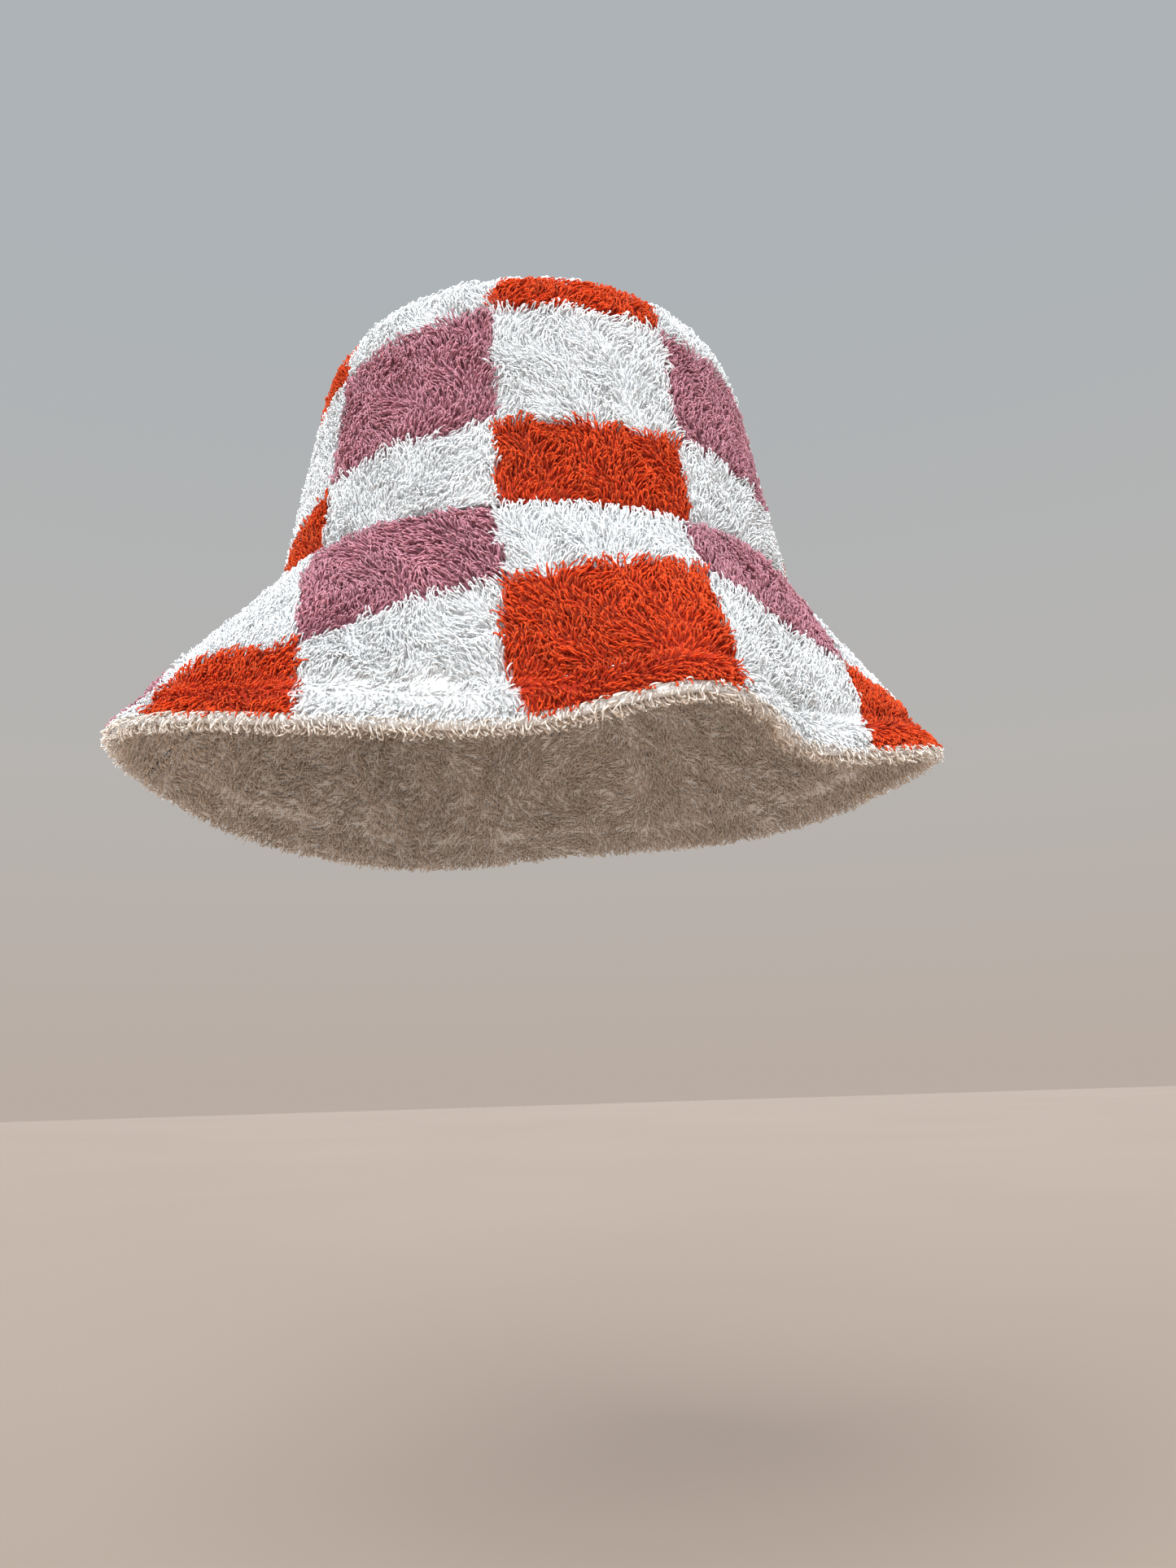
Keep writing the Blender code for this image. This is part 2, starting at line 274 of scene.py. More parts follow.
def under_brim(azimuth, distance):
    """The underbrim's face: out along the underside, round the edge and back over the top."""
    flat = BRIM_WIDTH - EDGE_RADIUS
    turn = np.clip((distance - flat) / EDGE_RADIUS, 0, math.pi)
    back = np.maximum(distance - flat - math.pi * EDGE_RADIUS, 0)
    run = np.minimum(distance, flat) + EDGE_RADIUS * np.sin(turn) - back
    pressed = np.clip((distance - TOPSTITCH_RUN) / PRESS_REACH + 0.5, 0, 1)
    depth = UNDERBRIM_FACE - EDGE_PRESS * pressed - EDGE_RADIUS * (1 - np.cos(turn))
    return place(brim_surface, azimuth, run, depth)


SHOULDER_END = SHOULDER_START + (math.pi / 2 - CROWN_TAPER - TIP_RISE) * SHOULDER_RADIUS
CENTRE_RUN = SHOULDER_END + (CROWN_HALF_WIDTH - crown_travel(SHOULDER_END)[0]) / math.cos(TIP_RISE)

# name: face, side the pile stands on, first and last distance, middle azimuth (None for all round)
PANELS = {
    "side_band_front": (outer_crown, 1, PANEL_GAP, TIP_SEAM - PANEL_GAP, 0.0),
    "side_band_back": (outer_crown, 1, PANEL_GAP, TIP_SEAM - PANEL_GAP, math.pi),
    "crown_tip": (outer_crown, 1, TIP_SEAM + PANEL_GAP, CENTRE_RUN, None),
    "brim_front": (outer_brim, -1, PANEL_GAP, BRIM_END, 0.0),
    "brim_back": (outer_brim, -1, PANEL_GAP, BRIM_END, math.pi),
    "lining_band_front": (inner_crown, -1, PANEL_GAP, TIP_SEAM - PANEL_GAP, 0.0),
    "lining_band_back": (inner_crown, -1, PANEL_GAP, TIP_SEAM - PANEL_GAP, math.pi),
    "lining_tip": (inner_crown, -1, TIP_SEAM + PANEL_GAP, CENTRE_RUN, None),
    "underbrim_front": (under_brim, 1, PANEL_GAP, UNDER_END, 0.0),
    "underbrim_back": (under_brim, 1, PANEL_GAP, UNDER_END, math.pi),
    "brim_interlining_front": (stiffener, -1, PANEL_GAP, TOPSTITCH_RUN, 0.0),
    "brim_interlining_back": (stiffener, -1, PANEL_GAP, TOPSTITCH_RUN, math.pi),
    "size_label": (label_face, -1, LABEL_BOTTOM, LABEL_TOP, math.pi),
}
SLOTS = {
    outer_crown: "checked_towelling",
    outer_brim: "checked_towelling",
    inner_crown: "white_towelling",
    under_brim: "white_towelling",
    stiffener: "interlining",
    label_face: "woven_label",
}


def face_slopes(face, side, azimuth, distance):
    """Directions round the hat and along the cloth, and the normal on the side with the pile."""
    around = unit(face(azimuth + STEP, distance) - face(azimuth - STEP, distance))
    along = unit(face(azimuth, distance + STEP) - face(azimuth, distance - STEP))
    return around, along, unit(np.cross(around, along)) * side


# Pattern


def seam_length(azimuth, middle):
    """Distance along the crown seam from the middle of a front or back piece."""
    angles = np.linspace(-math.pi, math.pi, 721)
    speed = np.hypot(CROWN_HALF_WIDTH * np.cos(angles), CROWN_HALF_DEPTH * np.sin(angles))
    travelled = np.concatenate([[0], np.cumsum((speed[1:] + speed[:-1]) / 2 * np.diff(angles))])
    wrapped = np.angle(np.exp(1j * (azimuth - middle)))
    return np.interp(wrapped, angles, travelled - travelled[-1] / 2)


def cut_place(panel, azimuth, distance):
    """Place in the flat cut piece: across it, and up (side band, tip) or down (brim) from the seam."""
    middle = PANELS[panel][4]
    if middle is None:
        points = crown_surface(azimuth, distance)
        return points[..., 0], points[..., 1]
    along_seam = seam_length(azimuth, middle)
    if "band" in panel:
        turn = (along_seam - BAND_SHIFT) / BAND_RADIUS
        reach = BAND_RADIUS - distance
        return reach * np.sin(turn), BAND_RADIUS - reach * np.cos(turn)
    turn = (along_seam - BRIM_SHIFT) / BRIM_RADIUS
    reach = BRIM_RADIUS + distance
    return reach * np.sin(turn), reach * np.cos(turn) - BRIM_RADIUS


def column_of(across, lines):
    """Number of the check column, with even columns beyond the given lines."""
    before = [lines[0] - CHECK_WIDTH * step for step in (3, 2, 1)]
    after = [lines[-1] + CHECK_WIDTH * step for step in (1, 2, 3)]
    return np.searchsorted([*before, *lines, *after], across)


def check_colour(panel, azimuth, distance):
    """Columns hold orange or pink in turn, each in every other row, and white between."""
    across, upward = cut_place(panel, azimuth, distance)
    pulled = 1 if "front" in panel else 0
    if panel == "crown_tip":
        column = column_of(across, TIP_COLUMNS)
        row = np.floor((upward - TIP_ROW) / CHECK_HEIGHT)
    elif "band" in panel:
        past = np.maximum(-seam_length(azimuth, PANELS[panel][4]) - BAND_PULL_START, 0)
        upward = upward + pulled * BAND_PULL * past**2 * np.maximum(1 - distance / BAND_PULL_REACH, 0)
        column = column_of(across, BAND_COLUMNS) + 1
        row = 1 - np.floor((upward - BAND_ROW) / CHECK_HEIGHT)
    else:
        upward = upward - BRIM_GRAIN * across
        seam_place = seam_length(azimuth, PANELS[panel][4])
        far = np.clip((BRIM_PULL_START - seam_place) / BRIM_PULL_REACH, 0, 1)
        upward = upward + pulled * BRIM_PULL * far**2 * (3 - 2 * far)
        bowed = pulled * np.interp(distance, BOW_DISTANCES, BOW_DEPTHS)
        across = across + bowed * np.exp(-(((across - BOW_PLACE) / BOW_SPREAD) ** 2))
        column = column_of(across, BRIM_COLUMNS)
        row = np.floor((upward - BRIM_ROW) / CHECK_HEIGHT)
    odd = np.mod(column, 2).astype(int)
    coloured = np.mod(row, 2).astype(int) == odd
    return np.where(coloured, np.where(odd == 0, ORANGE, PINK), WHITE)


# Meshes


def new_object(name, mesh, look):
    mesh.materials.append(look)
    made = bpy.data.objects.new(name, mesh)
    bpy.context.scene.collection.objects.link(made)
    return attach(made, "root")


def quick_mesh(name, points, corner_lists):
    """A mesh from an array of points and a list of arrays of faces, each with its own corner count."""
    mesh = bpy.data.meshes.new(name)
    mesh.vertices.add(len(points))
    mesh.vertices.foreach_set("co", np.ascontiguousarray(points, np.float32).ravel())
    corners = np.concatenate([faces.ravel() for faces in corner_lists])
    sizes = np.concatenate([np.full(len(faces), faces.shape[1]) for faces in corner_lists])
    mesh.loops.add(len(corners))
    mesh.loops.foreach_set("vertex_index", corners.astype(np.int32))
    mesh.polygons.add(len(sizes))
    starts = np.concatenate([[0], np.cumsum(sizes)[:-1]])
    mesh.polygons.foreach_set("loop_start", starts.astype(np.int32))
    mesh.update(calc_edges=True)
    mesh.shade_smooth()
    return mesh


def point_value(mesh, name, values):
    attribute = mesh.attributes.new(name, "FLOAT", "POINT")
    attribute.data.foreach_set("value", np.ascontiguousarray(values, np.float32).ravel())


def tubes(name, centres, reference, radii, sides, twist, start_angle):
    """Closed tubes along rows of centres. Returns the mesh and how far along each point is, 0 to 1."""
    count, rings = centres.shape[:2]
    tangent = unit(np.gradient(centres, axis=1))
    across = unit(reference - (reference * tangent).sum(-1, keepdims=True) * tangent)
    up = np.cross(tangent, across)
    travel = np.linspace(0, 1, rings)
    angle = start_angle[:, None, None] + twist * travel[None, :, None]
    angle = angle + 2 * math.pi * np.arange(sides) / sides
    ring = np.cos(angle)[..., None] * across[:, :, None] + np.sin(angle)[..., None] * up[:, :, None]
    points = centres[:, :, None] + radii[..., None, None] * ring
    first = np.arange(count)[:, None, None] * rings * sides
    ring_start = first + np.arange(rings - 1)[None, :, None] * sides
    side = np.arange(sides)[None, None, :]
    beside = (side + 1) % sides
    quads = np.stack(np.broadcast_arrays(
        ring_start + side, ring_start + beside, ring_start + sides + beside, ring_start + sides + side
    ), axis=-1).reshape(-1, 4)
    starts = np.arange(count)[:, None] * rings * sides
    bottom = starts + np.arange(sides)[::-1]
    top = starts + (rings - 1) * sides + np.arange(sides)
    mesh = quick_mesh(name, points.reshape(-1, 3), [quads, bottom, top])
    along = np.broadcast_to(travel[None, :, None], (count, rings, sides))
    return mesh, along


# Ground cloth


def azimuth_span(middle, columns, gap=PANEL_GAP):
    if middle is None:
        return np.linspace(-math.pi, math.pi, columns, endpoint=False)
    clearance = gap / CROWN_HALF_DEPTH
    return middle + np.linspace(-math.pi / 2 + clearance, math.pi / 2 - clearance, columns)


def ground_cloth(panel, name, look, thickness=CLOTH, columns=CLOTH_COLUMNS, rows=CLOTH_ROWS):
    """A closed thin sheet under the pile, with its place in the cut piece as UV, in metres."""
    face, side, first, last, middle = PANELS[panel]
    closed = middle is None
    last = last - (POLE_GAP if closed else 0)
    azimuth = azimuth_span(middle, columns)[None, :]
    if panel == "size_label":
        azimuth = middle + np.linspace(-LABEL_HALF_ANGLE, LABEL_HALF_ANGLE, columns)[None, :]
    distance = np.linspace(first, last, rows)[:, None]
    azimuth, distance = np.broadcast_arrays(azimuth, distance)
    top = face(azimuth, distance)
    normal = face_slopes(face, side, azimuth, distance)[2]
    top = top + normal * cloth_lumps(top)[..., None] * CLOTH_LUMP
    bottom = top - normal * thickness
    points = np.concatenate([top.reshape(-1, 3), bottom.reshape(-1, 3)])
    wide = columns if closed else columns - 1
    column = np.arange(wide)[None, :]
    row = np.arange(rows - 1)[:, None] * columns
    beside = (column + 1) % columns
    upper = np.stack(
        [row + column, row + beside, row + columns + beside, row + columns + column], -1
    ).reshape(-1, 4)
    if side < 0:
        upper = upper[:, ::-1]
    lower = upper[:, ::-1] + rows * columns
    rims = [rim(np.arange(columns), rows * columns, closed, side > 0)]
    rims.append(rim((rows - 1) * columns + np.arange(columns), rows * columns, closed, side < 0))
    if not closed:
        rims.append(rim(np.arange(rows) * columns, rows * columns, False, side < 0))
        rims.append(rim(np.arange(rows) * columns + columns - 1, rows * columns, False, side > 0))
    mesh = quick_mesh(name, points, [upper, lower, *rims])
    across, upward = cut_place(panel, azimuth, distance)
    uv = np.stack([across, upward], -1).reshape(-1, 2)
    uv = np.concatenate([uv, uv])
    layer = mesh.uv_layers.new(name="cut")
    corners = np.empty(len(mesh.loops), np.int32)
    mesh.loops.foreach_get("vertex_index", corners)
    layer.data.foreach_set("uv", uv[corners].astype(np.float32).ravel())
    colour = np.zeros(azimuth.shape, int)
    if face in (outer_crown, outer_brim):
        colour = check_colour(panel, azimuth, distance)
    # The ground takes the check colours darkened, as painted shade where it lies deep between the loops.
    tint = np.array([SHADED_GROUND_WHITE, SHADED_GROUND_ORANGE, SHADED_GROUND_PINK])[colour].reshape(-1, 3)
    tint = np.concatenate([tint, tint])
    shade = mesh.color_attributes.new("ground", "FLOAT_COLOR", "POINT")
    shade.data.foreach_set("color", np.concatenate([tint, np.ones((len(tint), 1))], 1).ravel())
    made = new_object(name, mesh, look)
    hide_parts(panel)
    return made


def rim(line, offset, closed, flip):
    """Faces that join the upper and lower side of a sheet along a line of its points."""
    following = np.roll(line, -1) if closed else line[1:]
    line = line if closed else line[:-1]
    faces = np.stack([line, line + offset, following + offset, following], -1)
    return faces[:, ::-1] if flip else faces


def random_field(seed, count, shortest, longest):
    """A smooth random field over space, a sum of plane waves, mostly between -1 and 1."""
    draw = np.random.default_rng(seed)
    directions = unit(draw.normal(size=(count, 3)))
    lengths = longest * (shortest / longest) ** draw.random(count)
    phases = draw.random(count) * 2 * math.pi

    def field(points):
        total = 0
        for direction, length, phase in zip(directions, lengths, phases):
            total = total + np.sin(points @ direction * (2 * math.pi / length) + phase)
        return total / math.sqrt(count)

    return field


cloth_lumps = random_field(3, 9, 0.012, 0.040)
comb_broad = random_field(11, 8, 0.040, 0.110)
comb_fine = random_field(12, 10, 0.009, 0.025)
comb_tuft = random_field(14, 12, 0.0035, 0.008)
pile_height = random_field(13, 9, 0.006, 0.020)


# Pile


def scatter(panel, pitch, draw):
    """Roots in even rows along the cloth, a little out of line: azimuths and distances."""
    face, side, first, last, middle = PANELS[panel]
    azimuths, distances = [], []
    for distance in np.arange(first, last, pitch):
        line = azimuth_span(middle, 361, 0.0)
        points = face(line, np.full(line.shape, distance))
        travelled = np.concatenate([[0], np.cumsum(np.linalg.norm(np.diff(points, axis=0), axis=1))])
        count = max(int(travelled[-1] / pitch), 3)
        strays = draw.uniform(-OUT_OF_LINE, OUT_OF_LINE, count)
        at = (np.arange(count) + 0.5 + strays) / count * travelled[-1]
        azimuths.append(np.interp(at, travelled, line))
        distances.append(distance + draw.uniform(-OUT_OF_LINE, OUT_OF_LINE, count) * pitch)
    distance = np.clip(np.concatenate(distances), first, last)
    return np.concatenate(azimuths), distance


def seam_trim(panel, distance):
    """How much of its height the pile keeps near the seams and the topstitching, 0 to 1."""
    far_line, far_trim = (TOPSTITCH_RUN, TOPSTITCH_TRIM) if "brim" in panel else (TIP_SEAM, SEAM_TRIM)
    kept = 1 - SEAM_TRIM * np.exp(-((distance / TRIM_REACH) ** 2))
    return kept * (1 - far_trim * np.exp(-(((distance - far_line) / TRIM_REACH) ** 2)))


def comb_angle(panel, points, distance):
    """Direction in which the pile leans, from along the cloth (0, away from the seam) turning round."""
    broad, fine, tuft = COMB_WEIGHTS
    drift = broad * comb_broad(points) + fine * comb_fine(points) + tuft * comb_tuft(points)
    if "brim" not in panel:
        return drift
    if "under" in panel:
        past_edge = 1 / (1 + np.exp(-(distance - EDGE_APEX) / APEX_BLEND))
        steady = np.exp(-(((distance - EDGE_APEX) / APEX_REACH) ** 2))
        return math.pi * past_edge + drift * (1 - 0.5 * steady)
    to_edge = 1 / (1 + np.exp(-(distance - TOPSTITCH_RUN - PARTING) / PARTING_BLEND))
    return math.pi * (1 - to_edge) + drift * (1 - 0.5 * to_edge)


def yarn_paths(face, side, panel, azimuth, distance, pile, draw):
    """Centre lines and radii of the loops, and the direction across each."""
    height, length = pile[2:]
    root = face(azimuth, distance)
    around, along, normal = face_slopes(face, side, azimuth, distance)
    count = len(root)
    angle = comb_angle(panel, root, distance) + draw.normal(0, LEAN_SPREAD, count)
    forward = np.cos(angle)[:, None] * along + np.sin(angle)[:, None] * around
    sideways = np.cross(normal, forward)
    kept = seam_trim(panel, distance)
    if "under" in panel:
        kept = kept * (1 - EDGE_TRIM * np.exp(-(((distance - EDGE_APEX) / EDGE_TRIM_REACH) ** 2)))
    uneven = 1 + HEIGHT_LUMPS * pile_height(root) + draw.normal(0, HEIGHT_SPREAD, count)
    tall = (height * kept * uneven)[:, None]
    long = length * (0.6 + 0.4 * kept) * (1 + draw.normal(0, LENGTH_SPREAD, count))
    hook = draw.uniform(*HOOK, count)
    bend = draw.choice([-1, 1], count) * draw.uniform(*SIDEWAYS_BEND, count) * long * 0.5
    travel = np.linspace(0, 1, YARN_RINGS)[None, :]
    turn = math.pi * hook[:, None] * travel
    ahead = long[:, None] * np.sin(turn) * (0.35 + 0.65 * travel)
    beside = bend[:, None] * (1 - np.cos(turn))
    rise = tall * (1 - (1 - travel) ** 2.0) - 0.25 * tall * travel**4
    centres = root[:, None] + normal[:, None] * (rise - ROOT_DEPTH)[..., None]
    centres = centres + forward[:, None] * ahead[..., None] + sideways[:, None] * beside[..., None]
    thick = pile[1] * (1 + draw.normal(0, RADIUS_SPREAD, count))[:, None]
    return centres, thick * (1 - YARN_TAPER * travel**5), sideways


def add_pile(panel, pile, looks, seed):
    """Loops all over a panel, as pieces of one colour and no more than MOST_YARNS loops each."""
    face, side = PANELS[panel][:2]
    draw = np.random.default_rng(seed)
    azimuth, distance = scatter(panel, pile[0], draw)
    centres, radii, sideways = yarn_paths(face, side, panel, azimuth, distance, pile, draw)
    start_angle = draw.uniform(0, 2 * math.pi, len(centres))
    lot = draw.random(len(centres))
    colour = np.zeros(len(centres), int)
    if len(looks) > 1:
        colour = check_colour(panel, azimuth, distance)
    made = []
    for index, look in enumerate(looks):
        members = np.flatnonzero(colour == index)
        members = members[np.argsort(azimuth[members])]
        for number, chosen in enumerate(np.array_split(members, math.ceil(len(members) / MOST_YARNS)), 1):
            name = f"{panel}_pile_{COLOUR_NAMES[index]}_{number}"
            reference = np.broadcast_to(sideways[chosen][:, None], centres[chosen].shape)
            mesh, share = tubes(
                name, centres[chosen], reference, radii[chosen], YARN_SIDES, YARN_TWIST, start_angle[chosen]
            )
            point_value(mesh, "along", share)
            point_value(mesh, "lot", np.broadcast_to(lot[chosen][:, None, None], share.shape))
            piece = new_object(name, mesh, look)
            made.append(piece)
    return made


# Materials


def graph(name):
    look = bpy.data.materials.new(name)
    look.use_nodes = True
    nodes = look.node_tree.nodes
    return look, nodes, look.node_tree.links, nodes["Principled BSDF"]


def ramp(nodes, stops):
    made = nodes.new("ShaderNodeValToRGB")
    elements = made.color_ramp.elements
    while len(elements) < len(stops):
        elements.new(0.5)
    for element, (position, colour) in zip(elements, stops):
        element.position = position
        element.color = (*colour, 1)
    return made


def mix(nodes, links, blend, factor, first, second):
    """A colour mix. factor is a number or a socket, and so are the colours."""
    made = nodes.new("ShaderNodeMix")
    made.data_type = "RGBA"
    made.blend_type = blend
    for socket, value in ((made.inputs[0], factor), (made.inputs[6], first), (made.inputs[7], second)):
        if isinstance(value, bpy.types.NodeSocket):
            links.new(value, socket)
        elif isinstance(value, tuple):
            socket.default_value = (*value, 1)
        else:
            socket.default_value = value
    return made.outputs[2]


def attribute(nodes, name):
    made = nodes.new("ShaderNodeAttribute")
    made.attribute_name = name
    return made


def noise(nodes, links, scale, detail=2.0, vector=None):
    made = nodes.new("ShaderNodeTexNoise")
    made.inputs["Scale"].default_value = scale
    made.inputs["Detail"].default_value = detail
    if vector is None:
        vector = nodes.new("ShaderNodeTexCoord").outputs["Object"]
    links.new(vector, made.inputs["Vector"])
    return made.outputs[0]


def bump(nodes, links, shader, height, strength, distance):
    made = nodes.new("ShaderNodeBump")
    made.inputs["Strength"].default_value = strength
    made.inputs["Distance"].default_value = distance
    links.new(height, made.inputs["Height"])
    links.new(made.outputs[0], shader.inputs["Normal"])


def rough_from(nodes, links, shader, value, low, high):
    spread = nodes.new("ShaderNodeMapRange")
    spread.inputs["To Min"].default_value = low
    spread.inputs["To Max"].default_value = high
    links.new(value, spread.inputs["Value"])
    links.new(spread.outputs[0], shader.inputs["Roughness"])


def yarn(name, root, body, tip, sheen_tint, spread):
    """Dyed cotton loops: darker at the root as painted shade deep in the pile, paler towards the tip, each
    loop a little its own tone.
    """
    look, nodes, links, shader = graph(name)
    # Painted shade: each loop's colour runs from a darker root, where the pile shades itself, through its
    # body to its tip.
    along = ramp(nodes, [(0.05, root), (0.45, body), (0.95, tip)])
    links.new(attribute(nodes, "along").outputs["Fac"], along.inputs[0])
    shades = ramp(nodes, [(0.0, (1 - spread,) * 3), (0.5, (1, 1, 1)), (1.0, (1 + spread / 2,) * 3)])
    links.new(attribute(nodes, "lot").outputs["Fac"], shades.inputs[0])
    varied = mix(nodes, links, "MULTIPLY", 1.0, along.outputs[0], shades.outputs[0])
    patches = ramp(nodes, [(0.35, (0.93, 0.93, 0.93)), (0.65, (1.05, 1.05, 1.05))])
    links.new(noise(nodes, links, 55.0), patches.inputs[0])
    varied = mix(nodes, links, "MULTIPLY", 1.0, varied, patches.outputs[0])
    links.new(varied, shader.inputs["Base Color"])
    fibres = noise(nodes, links, 2600.0, 3.0)
    rough_from(nodes, links, shader, fibres, 0.82, 0.98)
    bump(nodes, links, shader, fibres, 0.5, 0.00012)
    shader.inputs["Specular IOR Level"].default_value = 0.25
    shader.inputs["Sheen Weight"].default_value = 0.25
    shader.inputs["Sheen Roughness"].default_value = 0.5
    shader.inputs["Sheen Tint"].default_value = (*sheen_tint, 1)
    glow = nodes.new("ShaderNodeBsdfTranslucent")
    links.new(varied, glow.inputs["Color"])
    blend = nodes.new("ShaderNodeMixShader")
    blend.inputs[0].default_value = YARN_TRANSLUCENCY
    links.new(shader.outputs[0], blend.inputs[1])
    links.new(glow.outputs[0], blend.inputs[2])
    links.new(blend.outputs[0], nodes["Material Output"].inputs["Surface"])
    return look


def woven(name, tint=None, thread=0.0011, contrast=0.35):
    look, nodes, links, shader = graph(name)
    cut = nodes.new("ShaderNodeUVMap")
    cut.uv_map = "cut"
    heights = []
    for direction in ("X", "Y"):
        wave = nodes.new("ShaderNodeTexWave")
        wave.bands_direction = direction
        wave.inputs["Scale"].default_value = 0.31 / thread  # one wave is about 0.31 / scale long
        wave.inputs["Distortion"].default_value = 0.6
        wave.inputs["Detail Scale"].default_value = 200.0
        links.new(cut.outputs[0], wave.inputs["Vector"])
        heights.append(wave.outputs["Fac"])
    weave = nodes.new("ShaderNodeMath")
    weave.operation = "MULTIPLY"
    links.new(heights[0], weave.inputs[0])
    links.new(heights[1], weave.inputs[1])
    # Painted shade: the cloth's colour darkens in the gaps between its threads.
    shades = ramp(nodes, [(0.0, (1 - contrast,) * 3), (0.6, (1, 1, 1))])
    links.new(weave.outputs[0], shades.inputs[0])
    # The towelling grounds take their colours, darkened as painted shade, from the ground attribute.
    source = tint if tint else attribute(nodes, "ground").outputs["Color"]
    coloured = mix(nodes, links, "MULTIPLY", 1.0, shades.outputs[0], source)
    soil = ramp(nodes, [(0.3, (0.90, 0.90, 0.90)), (0.7, (1, 1, 1))])
    links.new(noise(nodes, links, 90.0), soil.inputs[0])
    links.new(mix(nodes, links, "MULTIPLY", 1.0, coloured, soil.outputs[0]), shader.inputs["Base Color"])
    rough_from(nodes, links, shader, weave.outputs[0], 0.98, 0.85)
    bump(nodes, links, shader, weave.outputs[0], 0.6, 0.0003)
    shader.inputs["Specular IOR Level"].default_value = 0.2
    return look


def spun_thread(name, colour):
    """Sewing thread: two plies twisted round each other, darker in the groove between them as painted
    shade.
    """
    look, nodes, links, shader = graph(name)
    groove_shade = tuple(0.7 * value for value in colour)
    plies = attribute(nodes, "ply").outputs["Fac"]
    shades = ramp(nodes, [(0.2, groove_shade), (0.7, colour)])
    links.new(plies, shades.inputs[0])
    links.new(shades.outputs[0], shader.inputs["Base Color"])
    fibres = noise(nodes, links, 4000.0)
    rough_from(nodes, links, shader, fibres, 0.45, 0.7)
    bump(nodes, links, shader, fibres, 0.3, 0.00005)
    shader.inputs["Sheen Weight"].default_value = 0.2
    return look


# Colours as reflectances
YARN_TRANSLUCENCY = 0.45
# The ground cloth's colours are the loops' root colours, darkened as painted shade where the ground lies
# deep in the pile.
SHADED_GROUND_WHITE = (0.86, 0.87, 0.88)
SHADED_GROUND_ORANGE = (0.42, 0.026, 0.006)
SHADED_GROUND_PINK = (0.30, 0.105, 0.140)
STIFFENER_CREAM = (0.66, 0.62, 0.56)
LABEL_CREAM = (0.80, 0.76, 0.68)
THREAD_WHITE = (0.80, 0.80, 0.78)

# Yarns: colour at the root (darker, as painted shade deep in the pile), in the middle and at the tip, tint
# of the sheen, how much the loops differ
YARNS = {
    "white_yarn": ((0.86, 0.87, 0.88), (0.93, 0.935, 0.94), (0.95, 0.955, 0.96), (1, 1, 1), 0.04),
    "orange_yarn": ((0.48, 0.021, 0.003), (0.76, 0.061, 0.005), (0.86, 0.105, 0.013), (1, 0.5, 0.3), 0.2),
    "pink_yarn": ((0.38, 0.14, 0.19), (0.60, 0.250, 0.310), (0.72, 0.37, 0.43), (1, 0.8, 0.85), 0.14),
    # The lining's cream is partly its own tone and partly painted warm shade for the underbrim and lining,
    # which lie in shade.
    "lining_yarn": ((0.78, 0.69, 0.61), (0.90, 0.825, 0.75), (0.94, 0.90, 0.855), (1, 0.96, 0.92), 0.04),
}
white_yarn, orange_yarn, pink_yarn, lining_yarn = [yarn(name, *facts) for name, facts in YARNS.items()]
checked_ground = woven("checked_ground")
white_ground = woven("white_ground")
stiffener_cloth = woven("stiffener_cloth", STIFFENER_CREAM, 0.0006)
label_cloth = woven("label_cloth", LABEL_CREAM, 0.0004, 0.2)
thread_look = spun_thread("sewing_thread", THREAD_WHITE)


# Pieces of the hat


def build_towelling():
    for index, panel in enumerate(PANELS):
        if "towelling" not in SLOTS[PANELS[panel][0]]:
            continue
        outer = SLOTS[PANELS[panel][0]] == "checked_towelling"
        cloth = ground_cloth(panel, panel + "_cloth", checked_ground if outer else white_ground)
        if outer:
            pile, looks = OUTER_PILE, (white_yarn, orange_yarn, pink_yarn)
        else:
            pile, looks = UNDER_PILE if "underbrim" in panel else LINING_PILE, (lining_yarn,)
        piles = add_pile(panel, pile, looks, FIRST_SEED + index)


def stitch_line(points, outward):
    """Centres of one stitch after another along a line of points, their ends dipping into the cloth."""
    travelled = np.concatenate([[0], np.cumsum(np.linalg.norm(np.diff(points, axis=0), axis=1))])
    starts = np.arange(0, travelled[-1] - STITCH, STITCH + STITCH_GAP)
    travel = np.linspace(0, 1, STITCH_RINGS)
    at = starts[:, None] + STITCH * travel[None]
    centres = np.stack([np.interp(at, travelled, points[:, axis]) for axis in range(3)], -1)
    normal = unit(np.stack([np.interp(at, travelled, outward[:, axis]) for axis in range(3)], -1))
    arch = -STITCH_ARCH * (2 * travel - 1) ** 4
    return centres + normal * arch[None, :, None], normal


def add_stitches(name, node, lines):
    """Sewing thread along lines of (points, outward normals), in place of the CAD model's plain thread."""
    rows = [stitch_line(points, outward) for points, outward in lines]
    centres = np.concatenate([centres for centres, _ in rows])
    normal = np.concatenate([normal for _, normal in rows])
    radii = np.full(centres.shape[:2], THREAD_RADIUS)
    radii[:, [0, -1]] *= STITCH_END
    mesh, along = tubes(name, centres, normal, radii, STITCH_SIDES, 0.0, np.zeros(len(centres)))
    side = np.arange(STITCH_SIDES) / STITCH_SIDES
    ply = 0.5 + 0.5 * np.sin(2 * math.pi * (along * STITCH / PLY_LENGTH + side))
    point_value(mesh, "ply", ply)
    made = new_object(name, mesh, thread_look)
    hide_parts(node)


def around_line(face, side, distance, lift):
    """A line all round the hat at one distance along a face, raised towards its pile."""
    azimuth = np.linspace(-math.pi, math.pi, 1441)
    distances = np.full(azimuth.shape, distance)
    outward = face_slopes(face, side, azimuth, distances)[2]
    return face(azimuth, distances) + outward * lift, outward


def side_line(face, side, azimuth, first, last, lift):
    """A line along a side seam."""
    distances = np.linspace(first, last, 200)
    azimuths = np.full(distances.shape, azimuth)
    outward = face_slopes(face, side, azimuths, distances)[2]
    return face(azimuths, distances) + outward * lift, outward


